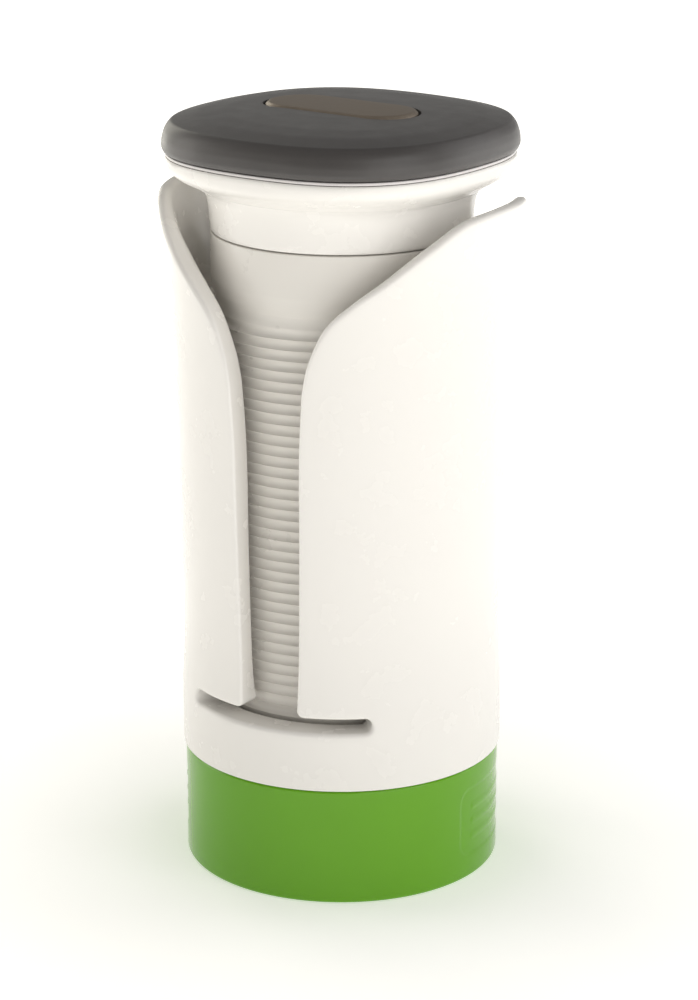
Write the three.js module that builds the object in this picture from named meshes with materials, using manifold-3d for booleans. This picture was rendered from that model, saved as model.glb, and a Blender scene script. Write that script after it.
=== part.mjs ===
// Hand-held twist mill: a squared knob on a wide feed screw, which presses a block of hard cheese onto
// a grater disc through a body of two springy petals. A cap closes the grater end and is the foot.
// Millimetres, +Z up, origin at the middle of the cap's underside. The slots face -Y and +Y,
// and the petals stand on +X and -X.
import * as THREE from 'three';
import { mergeVertices } from 'three/addons/utils/BufferGeometryUtils.js';
import Module from 'manifold-3d';

const wasm = await Module();
wasm.setup();

// ---------------------------------------------------------------- driving sizes
const GAP = 0.3;                       // between neighbouring pieces
const BASE = { r: 33, height: 24.55, wall: 2.2, panelAngle: 50, panelDepth: 0.35 };
const BODY = { r: 33.5, bottom: BASE.height + GAP, throat: 27, wall: 3 };
const TSLOT = { low: 37.3, high: 40.3, reach: 37.5 };          // reach in degrees either side of -Y, +Y
const SPLIT = 38.8;                    // height of the petals' bending line, at mid T-slot
const THREAD = { pitch: 2.2, crest: 26.4, root: 25.5, from: 37, turns: 38 };
const TUBE = { bottom: 34.8, top: 134.1, shoulder: 26.62, bore: 22.2 };
const NUT = { from: 103, turns: 6, halfAngle: 21, play: 0.45 };
const KNOB = { seat: 134.4, rim: 149.75, r: 34.1, top: 159, corner: -54 };
const BADGE = { length: 34.2, width: 15.5, low: 157.7, high: 159.2 };
const PETAL_TOP = 142.3;

// Outlines through a few points, read as a smooth curve.
const OUTER = [[38, 33.5], [52, 33.0], [72, 33.5], [98, 34.1], [119, 34.75], [131, 35.75], [145, 38.4]];
const SLOT_HALF = [[38, 6.15], [51, 6.4], [75, 6.9], [95, 7.15], [108, 7.85]];
const V_EDGE = [[7.85, 108], [8.9, 113.5], [12, 120.9], [17, 126.1], [23.5, 131], [30.8, 137.3],
  [35, 141.2], [38, PETAL_TOP]];
const RAIL_INNER = [[38, 27.0], [52, 28.0], [95, 28.25], [120, 29.6], [128.7, 30.8], [137.4, 33.8],
  [145, 35.6]];

// ---------------------------------------------------------------- helpers
const radians = (degrees) => degrees * Math.PI / 180;

// Cubic through [position, value] points, with slopes taken from the neighbours.
function along(points, t) {
  const last = points.length - 1;
  if (t <= points[0][0]) return points[0][1];
  if (t >= points[last][0]) return points[last][1];
  const i = points.findIndex((point) => point[0] > t) - 1;
  const slope = (k) => {
    const a = points[Math.max(k - 1, 0)];
    const b = points[Math.min(k + 1, last)];
    return (b[1] - a[1]) / (b[0] - a[0]);
  };
  const [t0, v0] = points[i];
  const [t1, v1] = points[i + 1];
  const span = t1 - t0;
  const s = (t - t0) / span;
  const hermite = v0 * (1 + 2 * s) * (1 - s) ** 2 + v1 * s * s * (3 - 2 * s);
  return hermite + span * (slope(i) * s * (1 - s) ** 2 - slope(i + 1) * s * s * (1 - s));
}

// One closed mesh from corners and faces, turned inside out if its faces point inwards.
function solid(geometry) {
  geometry.deleteAttribute('normal');
  geometry.deleteAttribute('uv');
  const merged = mergeVertices(geometry, 1e-4);
  const p = merged.attributes.position;
  const corner = [new THREE.Vector3(), new THREE.Vector3(), new THREE.Vector3()];
  const faces = [];
  let volume = 0;
  for (let i = 0; i < merged.index.count; i += 3) {
    const face = [0, 1, 2].map((k) => merged.index.getX(i + k));
    if (new Set(face).size < 3) continue;
    face.forEach((vertex, k) => corner[k].fromBufferAttribute(p, vertex));
    volume += corner[0].dot(corner[1].clone().cross(corner[2])) / 6;
    faces.push(face);
  }
  merged.setIndex(faces.flatMap((face) => (volume < 0 ? [...face].reverse() : face)));
  return merged;
}

function meshOf(corners, faces) {
  const geometry = new THREE.BufferGeometry();
  geometry.setAttribute('position', new THREE.Float32BufferAttribute(corners.flat(), 3));
  geometry.setIndex(faces.flat());
  return solid(geometry);
}

// A turned piece from [radius, height] points. A profile off the axis is closed on itself.
function turned(profile, segments = 48) {
  const onAxis = profile[0][0] === 0 && profile.at(-1)[0] === 0;
  const points = (onAxis ? profile : [...profile, profile[0]]).map(([r, z]) => new THREE.Vector2(r, z));
  return solid(new THREE.LatheGeometry(points, segments).rotateX(Math.PI / 2));
}

const toManifold = (geometry) => new wasm.Manifold(new wasm.Mesh({
  numProp: 3,
  vertProperties: new Float32Array(geometry.attributes.position.array),
  triVerts: new Uint32Array(geometry.index.array),
}));

function fromManifold(result) {
  const mesh = result.getMesh();
  const geometry = new THREE.BufferGeometry();
  geometry.setAttribute('position', new THREE.BufferAttribute(new Float32Array(mesh.vertProperties), 3));
  geometry.setIndex([...mesh.triVerts]);
  return solid(geometry);
}

const cut = (geometry, cutters) => fromManifold(
  cutters.reduce((rest, cutter) => rest.subtract(toManifold(cutter)), toManifold(geometry)));
const join = (geometry, others) => fromManifold(
  others.reduce((rest, other) => rest.add(toManifold(other)), toManifold(geometry)));

const rod = (r, low, high, x = 0, y = 0, segments = 20) =>
  turned([[0, low], [r, low], [r, high], [0, high]], segments).translate(x, y, 0);

// How square the knob's outline is at a height: round at the neck, a soft square from the rim up.
function squareness(z) {
  const growth = Math.min(1, Math.max(0, (z - 141) / 7));
  const shrink = Math.min(1, Math.max(0, (z - 153) / 4));
  return 0.038 * growth - 0.006 * shrink;
}

// Rounded-square outline: four soft corners, the first at KNOB.corner degrees.
function squared(geometry) {
  const p = geometry.attributes.position;
  for (let i = 0; i < p.count; i++) {
    const angle = Math.atan2(p.getY(i), p.getX(i)) - radians(KNOB.corner);
    const swell = 1 + squareness(p.getZ(i)) * Math.cos(4 * angle);
    p.setXY(i, p.getX(i) * swell, p.getY(i) * swell);
  }
  return geometry;
}

// A block bent around the axis: sections of [radius, height] points at growing angles, with flat ends.
function bentBar(sections) {
  const n = sections[0].points.length;
  const corners = sections.flatMap(({ angle, points }) =>
    points.map(([r, z]) => [r * Math.cos(angle), r * Math.sin(angle), z]));
  const faces = [];
  for (let i = 0; i + 1 < sections.length; i++) {
    for (let j = 0; j < n; j++) {
      const [a, b] = [i * n + j, i * n + (j + 1) % n];
      faces.push([a, b, b + n], [a, b + n, a + n]);
    }
  }
  for (const { start, end } of [{ start: 0, end: false }, { start: (sections.length - 1) * n, end: true }]) {
    const outline = (end ? sections.at(-1) : sections[0]).points.map(([r, z]) => new THREE.Vector2(r, z));
    for (const [a, b, c] of THREE.ShapeUtils.triangulateShape(outline, [])) {
      const face = [start + a, start + b, start + c];
      const turn = THREE.ShapeUtils.area([outline[a], outline[b], outline[c]]);
      faces.push((turn > 0) === end ? face : face.reverse());
    }
  }
  return meshOf(corners, faces);
}

// Angles from one end to the other, both included.
const fan = (from, to, count) => Array.from({ length: count + 1 }, (_, i) => from + (to - from) * i / count);

// ---------------------------------------------------------------- base
// Cap: a cup with two shallow grip panels, left and right of the front.
function baseCap() {
  const { r, height, wall } = BASE;
  const cup = turned([[0, 0], [r - 1, 0], [r - 0.3, 0.3], [r, 1], [r, height - 0.6], [r - 0.6, height],
    [r - wall, height], [r - wall, 3.4], [r - wall - 1.2, 2.2], [0, 2.2]], 64);
  const half = radians(BASE.panelAngle / 2);
  const panel = (middle) => bentBar(fan(middle - half, middle + half, 10).map((angle) => ({
    angle,
    points: [[r - BASE.panelDepth, 5], [r + 1, 5], [r + 1, 20], [r - BASE.panelDepth, 20]],
  })));
  return cut(cup, [panel(radians(10)), panel(radians(190))]);
}

// Grater: a steel disc with rings of holes, held on the ledge of a ring that plugs into the body.
const GRATER = { r: 27.4, low: 26.3, thick: 0.6, rings: [6, 11.5, 17, 22.5] };

function graterDisc() {
  const { r, low, thick, rings } = GRATER;
  const holes = rings.flatMap((ringRadius, ring) => {
    const count = 6 * (ring + 1);
    return fan(0, 2 * Math.PI, count).slice(0, count).map((angle) =>
      rod(1.2, low - 1, low + 2, ringRadius * Math.cos(angle), ringRadius * Math.sin(angle), 6));
  });
  return cut(rod(r, low, low + thick, 0, 0, 48), holes);
}

const CARRIER = { low: 22, flange: 30.4, spigot: 30, bore: 27.7, ledge: 25.5, top: 29.8 };

const graterCarrier = () => turned([
  [CARRIER.ledge, CARRIER.low], [CARRIER.flange - 0.5, CARRIER.low], [CARRIER.flange, CARRIER.low + 0.5],
  [CARRIER.flange, 24.5], [CARRIER.spigot, 24.5], [CARRIER.spigot, 26.9], [28.9, 26.9], [28.9, 28.5],
  [CARRIER.spigot, 28.5], [CARRIER.spigot, CARRIER.top - 0.4], [CARRIER.spigot - 0.4, CARRIER.top],
  [CARRIER.bore, CARRIER.top], [CARRIER.bore, 26], [CARRIER.ledge, 26],
]);

const graterSeal = () => turned([[29.05, 27.3], [29.3, 27.05], [29.9, 27.05], [30.15, 27.3], [30.15, 28.1],
  [29.9, 28.35], [29.3, 28.35], [29.05, 28.1]], 48);

// ---------------------------------------------------------------- body
// Cutter for the T-slot: a rounded-end slot, bent around the axis at the front or at the back.
function tSlot(middle) {
  const { low, high } = TSLOT;
  const [half, roundness] = [radians(TSLOT.reach), (high - low) / 2];
  const end = roundness / BODY.r;
  const angles = [-1, -0.94, -0.75, -0.4, 0].map((s) => -half + end * (1 + s));
  const straight = fan(-half + end, half - end, 12).slice(1);
  const across = [...angles, ...straight, ...angles.reverse().slice(1).map((a) => -a)];
  return bentBar(across.map((angle) => {
    const past = Math.max(0, Math.abs(angle) - (half - end)) / end;
    const rise = Math.max(0.08, roundness * Math.sqrt(Math.max(0, 1 - past * past)));
    const mid = (low + high) / 2;
    return {
      angle: middle + angle,
      points: [[24, mid - rise], [42, mid - rise], [42, mid + rise], [24, mid + rise]],
    };
  }));
}

const tSlots = () => [tSlot(-Math.PI / 2), tSlot(Math.PI / 2)];

const bodyRing = () => cut(turned([
  [CARRIER.spigot + GAP, BODY.bottom], [BODY.r - 0.4, BODY.bottom], [BODY.r, BODY.bottom + 0.4],
  [BODY.r, SPLIT - GAP / 2], [BODY.throat, SPLIT - GAP / 2], [BODY.throat, 30.6], [BODY.throat + 0.4, 30.2],
  [CARRIER.spigot + GAP, 30.2],
], 64), tSlots());

// Height of the petal's edge above a point of the outside, by its distance from the slot plane.
const rimHeight = (x) => along(V_EDGE, x);

// Petal on +X. Rows run from the bending line to the rim, columns from the front slot to the back one.
function petal() {
  const bottom = SPLIT + GAP / 2;
  const railWidth = 3.8;
  const blendWidth = 1.6;
  const rows = [0, 0.06, 0.13, 0.24, 0.36, 0.48, 0.6, 0.7, 0.79, 0.86, 0.92, 0.96, 1];
  const half = [1, 0.975, 0.948, 0.9, 0.84, 0.76, 0.66, 0.54, 0.4, 0.2, 0];
  const columns = [...half, ...half.slice(0, -1).reverse().map((u) => -u)];
  const outer = [];
  const inner = [];
  for (const v of rows) {
    for (const u of columns) {
      const size = Math.abs(u);
      // The corner where slot and rim meet is the first point of the rim curve.
      const [slotX, slotTop] = V_EDGE[0];
      const angleTop = Math.PI / 2 - size * (Math.PI / 2 - Math.asin(slotX / along(OUTER, slotTop)));
      const reach = rimHeightAt(angleTop);
      const z = bottom + v * (reach - bottom);
      const edgeX = z < slotTop ? along(SLOT_HALF, z) : slotX;
      const edgeAngle = Math.asin(edgeX / along(OUTER, z));
      const angle = Math.PI / 2 - size * (Math.PI / 2 - edgeAngle);
      const r = along(OUTER, z);
      const x = r * Math.sin(angle);
      const y = r * Math.cos(angle) * Math.sign(u || 1);
      outer.push([x, -y, z]);
      const fromSide = r * (angle - edgeAngle);
      const fromRim = (reach - z) * 0.8;
      const away = Math.min(fromSide, Math.max(fromRim, 0));
      const s = Math.min(1, Math.max(0, (away - railWidth) / blendWidth));
      const rail = along(RAIL_INNER, z);
      const wall = r - BODY.wall;
      const ri = rail + (Math.max(wall, rail) - rail) * s * s * (3 - 2 * s);
      // At the edge the cut face stands square to the slot, so the inside keeps the outside's x.
      const keep = size === 1 && v < 1;
      const innerAngle = keep ? Math.asin(Math.min(1, x / ri)) : angle;
      inner.push([ri * Math.sin(innerAngle), -ri * Math.cos(innerAngle) * Math.sign(u || 1), z]);
    }
  }
  const n = columns.length;
  const m = rows.length;
  const faces = [];
  const inside = outer.length;
  for (let i = 0; i + 1 < m; i++) {
    for (let j = 0; j + 1 < n; j++) {
      const [a, b, c, d] = [i * n + j, i * n + j + 1, (i + 1) * n + j + 1, (i + 1) * n + j];
      faces.push([a, b, c], [a, c, d]);
      faces.push([inside + a, inside + c, inside + b], [inside + a, inside + d, inside + c]);
    }
  }
  const border = [
    ...Array.from({ length: n - 1 }, (_, j) => j),
    ...Array.from({ length: m - 1 }, (_, i) => i * n + n - 1),
    ...Array.from({ length: n - 1 }, (_, j) => (m - 1) * n + n - 1 - j),
    ...Array.from({ length: m - 1 }, (_, i) => (m - 1 - i) * n),
  ];
  border.forEach((a, k) => {
    const b = border[(k + 1) % border.length];
    faces.push([a, inside + b, b], [a, inside + a, inside + b]);
  });
  return cut(meshOf([...outer, ...inner], faces), tSlots());
}

// Rim height along an angle, found where the outside at that height has the rim's own x.
function rimHeightAt(angle) {
  let z = V_EDGE[0][1];
  for (let i = 0; i < 12; i++) z = rimHeight(along(OUTER, z) * Math.sin(angle));
  return z;
}

// Half nut in a petal: the screw's own thread, moved outwards by the play.
function halfNut(middle) {
  const { pitch, crest, root, from } = THREAD;
  const { play, turns, halfAngle } = NUT;
  const reach = radians(halfAngle);
  const backOff = Math.round((NUT.from - from) / pitch) * pitch;
  return bentBar(fan(middle - reach, middle + reach, 8).map((angle) => {
    const start = from + backOff + pitch * angle / (2 * Math.PI);
    const teeth = Array.from({ length: 2 * turns + 1 }, (_, k) =>
      [(k % 2 ? crest : root) + play, start + pitch * (k / 2)]);
    const [low, high] = [start - 1, start + pitch * turns + 1];
    const wallAt = (z) => along(OUTER, z) - BODY.wall - GAP - 0.15;
    return {
      angle,
      points: [[28.2, low], [wallAt(low), low], [wallAt(high), high], [28.2, high], ...teeth.reverse()],
    };
  }));
}

// ---------------------------------------------------------------- feed screw and foot
// Tube with a V thread outside. The thread is one ribbon: root and crest lines that climb together.
function feedScrew() {
  const { pitch, crest, root, from, turns } = THREAD;
  const steps = 24;
  const corners = [];
  const faces = [];
  const add = (r, angle, z) => corners.push([r * Math.cos(angle), r * Math.sin(angle), z]) - 1;
  const ring = (r, z) => Array.from({ length: steps }, (_, j) => add(r, 2 * Math.PI * j / steps, z));
  const band = (lower, upper) => lower.forEach((a, j) => {
    const k = (j + 1) % steps;
    faces.push([a, lower[k], upper[k]], [a, upper[k], upper[j]]);
  });
  const rootLine = [];
  const crestLine = [];
  const total = turns * steps;
  for (let s = 0; s <= total; s++) {
    const angle = 2 * Math.PI * s / steps;
    const z = from + pitch * (s / steps - 1);
    rootLine.push(add(root, angle, z));
    // The thread runs in over its first half turn and out over its last.
    const depth = Math.min(1, 0.1 + 2 * s / steps, 0.1 + 2 * (total - s) / steps);
    if (s + steps <= total) crestLine.push(add(root + (crest - root) * depth, angle, z + pitch / 2));
  }
  crestLine.forEach((a, s) => {
    if (s + 1 >= crestLine.length) return;
    const [b, low0, low1] = [crestLine[s + 1], rootLine[s], rootLine[s + 1]];
    const [high0, high1] = [rootLine[s + steps], rootLine[s + steps + 1]];
    faces.push([low0, low1, b], [low0, b, a], [a, b, high1], [a, high1, high0]);
  });
  const last = crestLine.length - 1;
  faces.push([rootLine[0], crestLine[0], rootLine[steps]]);
  faces.push([rootLine[last], rootLine[last + steps], crestLine[last]]);

  // Outside below the thread, with the step where the first turn begins.
  const below = ring(root, from - pitch - 0.4);
  for (let j = 0; j < steps; j++) {
    const [a, b] = [below[j], below[(j + 1) % steps]];
    faces.push([a, b, rootLine[j + 1]], [a, rootLine[j + 1], rootLine[j]]);
    if (j + 1 === steps) {
      const last = rootLine[steps];
      faces.splice(-2, 2, [a, b, rootLine[0]], [a, rootLine[0], last], [a, last, rootLine[j]]);
    }
  }
  // Outside above the thread, then over the top, down the bore and across the floor.
  const topZ = from + pitch * (turns - 1);
  const above = ring(root, topZ + 0.4);
  for (let j = 0; j < steps; j++) {
    const [low0, low1] = [rootLine[last + j], rootLine[last + j + 1]];
    const [a, b] = [above[j], above[(j + 1) % steps]];
    if (j === 0) {
      faces.push([rootLine[last], rootLine[last + 1], b], [rootLine[last], b, rootLine[last + steps]]);
      faces.push([rootLine[last + steps], b, a]);
    } else {
      faces.push([low0, low1, b], [low0, b, a]);
    }
  }
  const { bottom, top, shoulder, bore } = TUBE;
  const foot = ring(root - 0.4, bottom);
  const rim = [ring(shoulder - 0.35, topZ + 2), ring(shoulder, topZ + 3.2), ring(shoulder, top)];
  const inside = [ring(bore + GAP, top), ring(bore + GAP, 42), ring(bore - 1, 38)];
  band(foot, below);
  [above, ...rim, ...inside].reduce((lower, upper) => {
    band(lower, upper);
    return upper;
  });
  const floorTop = add(0, 0, 38);
  const floorLow = add(0, 0, bottom);
  inside.at(-1).forEach((a, j) => faces.push([a, inside.at(-1)[(j + 1) % steps], floorTop]));
  foot.forEach((a, j) => faces.push([a, floorLow, foot[(j + 1) % steps]]));
  const boss = rod(4.5, 37, 46);
  return cut(join(meshOf(corners, faces), [boss]), [rod(1.7, bottom - 1, 44, 0, 0, 16)]);
}

// Foot: a spiked plate that grips the cheese, screwed under the tube, with a glide ring around it.
function pusherPlate() {
  const plate = turned([
    [0, 30], [25.8, 30], [26.3, 30.4], [26.3, 30.9], [23.9, 31.2], [23.9, 34.5], [0, 34.5]]);
  const spike = (radius, angle) => turned([[0, 28.2], [0.35, 28.2], [1.7, 30.3], [0, 30.3]], 8)
    .translate(radius * Math.cos(angle), radius * Math.sin(angle), 0);
  const spikes = [[8.5, 4], [16, 8], [22.5, 12]].flatMap(([radius, count]) =>
    fan(0, 2 * Math.PI, count).slice(0, count).map((angle) => spike(radius, angle)));
  return cut(join(plate, spikes), [rod(3.6, 29, 32.2), rod(1.8, 29, 36)]);
}

const glideRing = () => turned([
  [24.2, 31.5], [26.4, 31.5], [26.7, 31.8], [26.7, 33.9], [26.4, 34.2], [24.2, 34.2]]);

// Pan-head screw with a cross recess left to the finish; head down, point up.
const screw = (headLow, headHigh, tip, headRadius, shankRadius) => turned([
  [0, headLow], [headRadius * 0.8, headLow], [headRadius, headLow + 0.5], [headRadius, headHigh],
  [shankRadius, headHigh], [shankRadius, tip - 1], [0.3, tip], [0, tip]], 16);

// ---------------------------------------------------------------- knob
const SCREW_CIRCLE = 14;
const screwPlaces = fan(0, 2 * Math.PI, 4).slice(0, 4).map((angle) =>
  [SCREW_CIRCLE * Math.cos(angle), SCREW_CIRCLE * Math.sin(angle)]);

// Collar: flared neck with a web inside, plugged into the screw's tube.
const knobCollar = () => cut(squared(turned([
  [0, 139.6], [19, 139.6], [19, 126.6], [21.8, 126.4], [TUBE.bore, 127], [TUBE.bore, KNOB.seat],
  [26.4, KNOB.seat], [26.65, KNOB.seat + 0.3], [26.8, 137.5], [27.05, 140], [27.45, 141.8], [28.2, 143.2],
  [29.9, 144.3], [32.1, 145.4], [33.5, 146.5], [34.1, 147.6], [34.35, 148.6], [34.3, KNOB.rim - GAP],
  [32.7, KNOB.rim - GAP], [31.8, 147.4], [29.4, 145.7], [26.6, 144.1], [25, 142.8], [0, 142.8],
])), screwPlaces.map(([x, y]) => rod(2, 138, 144, x, y, 16)));

// Core: the plate whose edge shows as a thin line under the grip, with screw bosses.
function knobCore() {
  const { rim, r } = KNOB;
  const plate = squared(turned([
    [0, rim], [r - 0.3, rim], [r, rim + 0.2], [r, rim + 0.4], [r - 0.3, rim + 0.6], [31.2, rim + 0.6],
    [31.2, 152.6], [30, 153.9], [20, 155], [0, 155.3]]));
  const bosses = screwPlaces.map(([x, y]) => rod(3.8, 143.2, rim + 1, x, y));
  const holes = screwPlaces.map(([x, y]) => rod(1.9, 143, 150.9, x, y, 16));
  return cut(join(plate, bosses), holes);
}

function stadium(length, width, low, high) {
  const [straight, r] = [(length - width) / 2, width / 2];
  const outline = new THREE.Shape();
  outline.absarc(straight, 0, r, -Math.PI / 2, Math.PI / 2);
  outline.absarc(-straight, 0, r, Math.PI / 2, 3 * Math.PI / 2);
  const settings = { depth: high - low, bevelEnabled: false, curveSegments: 14 };
  const block = new THREE.ExtrudeGeometry(outline, settings);
  return solid(block.translate(0, 0, low));
}

// Grip: a soft cap moulded over the core, a rounded square with a crowned top and a pocket for the badge.
function knobGrip() {
  const low = KNOB.rim + 0.9;
  const shell = squared(turned([
    [0, 155.6], [20, 155.3], [30.2, 154.2], [31.5, 152.8], [31.5, low], [34.35, low], [34.7, low + 0.3],
    [34.9, 152], [34.8, 153.2], [34.55, 154.3], [34.1, 155.5], [33.2, 156.6], [31.5, 157.25], [28.3, 157.85],
    [23, 158.4], [12, 158.85], [0, KNOB.top]], 64));
  const pocket = stadium(BADGE.length + 2 * GAP, BADGE.width + 2 * GAP, BADGE.low - GAP, BADGE.high + 3);
  return cut(shell, [pocket.rotateZ(radians(KNOB.corner + 45))]);
}

const badgePlate = () => stadium(BADGE.length, BADGE.width, BADGE.low, BADGE.high)
  .rotateZ(radians(KNOB.corner + 45));

// ---------------------------------------------------------------- scene
const WHITE = { color: 0xf2efe8, roughness: 0.28, metalness: 0 };
const STEEL = { color: 0xb9b6b0, roughness: 0.3, metalness: 1 };
const object = new THREE.Group();

function place(name, geometry, look, x = 0, y = 0) {
  const material = new THREE.MeshStandardMaterial(look);
  material.name = name;
  geometry.computeVertexNormals();
  const mesh = new THREE.Mesh(geometry, material);
  mesh.name = name;
  mesh.position.set(x, y, 0);
  object.add(mesh);
}

place('base_cap', baseCap(), { color: 0x6cb53a, roughness: 0.22, metalness: 0 });
place('grater_disc', graterDisc(), STEEL);
place('grater_carrier', graterCarrier(), WHITE);
place('grater_seal', graterSeal(), { color: 0x8d8b86, roughness: 0.7, metalness: 0 });
place('body_ring', bodyRing(), WHITE);
place('petal_right', petal(), WHITE);
place('petal_left', petal().rotateZ(Math.PI), WHITE);
place('half_nut_right', halfNut(0), WHITE);
place('half_nut_left', halfNut(Math.PI), WHITE);
place('feed_screw', feedScrew(), { color: 0xd9d4c8, roughness: 0.35, metalness: 0 });
place('pusher_plate', pusherPlate(), WHITE);
place('glide_ring', glideRing(), WHITE);
place('foot_screw', screw(30.3, 31.9, 43, 3.2, 1.4), STEEL);
place('knob_collar', knobCollar(), WHITE);
place('knob_core', knobCore(), WHITE);
screwPlaces.forEach(([x, y], i) =>
  place(`knob_screw_${i + 1}`, screw(137.6, 139.3, 149.9, 3.2, 1.6), STEEL, x, y));
place('knob_grip', knobGrip(), { color: 0x57534e, roughness: 0.62, metalness: 0 });
place('badge_plate', badgePlate(), { color: 0xa39a8c, roughness: 0.4, metalness: 1 });

export default object;
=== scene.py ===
"""Looks of the hand-held cheese mill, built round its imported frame.

Row frame: +Z up, slots on -Y and +Y, petals on +X and -X, origin under the middle of the cap.
Outlines are in millimetres and become metres when a mesh is made.
"""
import math

import bmesh
import bpy
import numpy as np
from mathutils import Matrix, Vector
from mathutils.geometry import delaunay_2d_cdt


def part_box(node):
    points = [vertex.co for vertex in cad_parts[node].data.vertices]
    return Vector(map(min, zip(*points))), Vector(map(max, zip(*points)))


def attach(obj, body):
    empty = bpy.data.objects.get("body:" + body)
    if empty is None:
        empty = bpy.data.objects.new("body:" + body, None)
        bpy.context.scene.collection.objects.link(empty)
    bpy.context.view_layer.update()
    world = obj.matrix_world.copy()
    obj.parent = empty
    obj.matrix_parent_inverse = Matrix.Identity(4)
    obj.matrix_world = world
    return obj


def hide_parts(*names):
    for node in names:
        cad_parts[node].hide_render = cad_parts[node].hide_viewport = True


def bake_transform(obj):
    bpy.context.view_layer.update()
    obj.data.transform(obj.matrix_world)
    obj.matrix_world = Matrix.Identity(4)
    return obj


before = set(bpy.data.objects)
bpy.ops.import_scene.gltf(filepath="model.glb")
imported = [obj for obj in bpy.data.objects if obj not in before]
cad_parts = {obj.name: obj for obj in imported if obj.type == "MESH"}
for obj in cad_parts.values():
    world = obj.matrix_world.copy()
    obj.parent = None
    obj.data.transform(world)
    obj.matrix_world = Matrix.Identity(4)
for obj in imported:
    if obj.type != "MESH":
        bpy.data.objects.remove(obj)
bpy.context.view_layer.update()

MM = 0.001


# ---------------------------------------------------------------- sizes, from the frame
def radius_of(node):
    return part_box(node)[1].x / MM


def low_of(node):
    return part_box(node)[0].z / MM


def high_of(node):
    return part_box(node)[1].z / MM


CAP_R, CAP_TOP = radius_of("base_cap"), high_of("base_cap")
BODY_R, BODY_LOW = radius_of("body_ring"), low_of("body_ring")
THROAT, SOCKET, LEDGE = 27.0, radius_of("grater_carrier") - 0.1, 30.4
T_SLOT_LOW, T_SLOT_HIGH, T_SLOT_REACH = 37.3, 40.3, 37.5
ROOT_HEIGHT = (T_SLOT_LOW + T_SLOT_HIGH) / 2
WALL = 3.0
PETAL_TOP = 142.3
PITCH = 2.2
TUBE_TOP, SHOULDER = high_of("feed_screw"), 26.62
GRIP_LOW, KNOB_TOP = low_of("knob_grip"), high_of("knob_grip")
RIM_LOW = GRIP_LOW - 0.9
KNOB_CORNER = math.radians(-54)

# Curves through a few points, as in the CAD: height to radius, and distance from the slot plane to height.
OUTER = [(38, 33.5), (52, 33.0), (72, 33.5), (98, 34.1), (119, 34.75), (131, 35.75), (145, 38.4)]
SLOT_HALF = [(38, 6.15), (51, 6.4), (75, 6.9), (95, 7.15), (108, 7.85)]
V_EDGE = [(7.85, 108), (8.9, 113.5), (12, 120.9), (17, 126.1), (23.5, 131), (30.8, 137.3), (35, 141.2),
          (38, PETAL_TOP)]
RAIL_INNER = [(38, 27.0), (52, 28.0), (95, 28.25), (120, 29.6), (128.7, 30.8), (137.4, 33.8), (145, 35.6)]


def along(points, t):
    """Cubic through the points, with slopes taken from the neighbours; flat beyond the ends."""
    knots, values = np.array(points, float).T
    t = np.clip(np.asarray(t, float), knots[0], knots[-1])
    slopes = np.empty_like(values)
    slopes[1:-1] = (values[2:] - values[:-2]) / (knots[2:] - knots[:-2])
    slopes[0] = (values[1] - values[0]) / (knots[1] - knots[0])
    slopes[-1] = (values[-1] - values[-2]) / (knots[-1] - knots[-2])
    i = np.clip(np.searchsorted(knots, t, side="right") - 1, 0, len(knots) - 2)
    span = knots[i + 1] - knots[i]
    s = (t - knots[i]) / span
    hermite = values[i] * (1 + 2 * s) * (1 - s) ** 2 + values[i + 1] * s * s * (3 - 2 * s)
    return hermite + span * (slopes[i] * s * (1 - s) ** 2 - slopes[i + 1] * s * s * (1 - s))


def smoothstep(low, high, t):
    s = np.clip((np.asarray(t, float) - low) / (high - low), 0, 1)
    return s * s * (3 - 2 * s)


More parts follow.
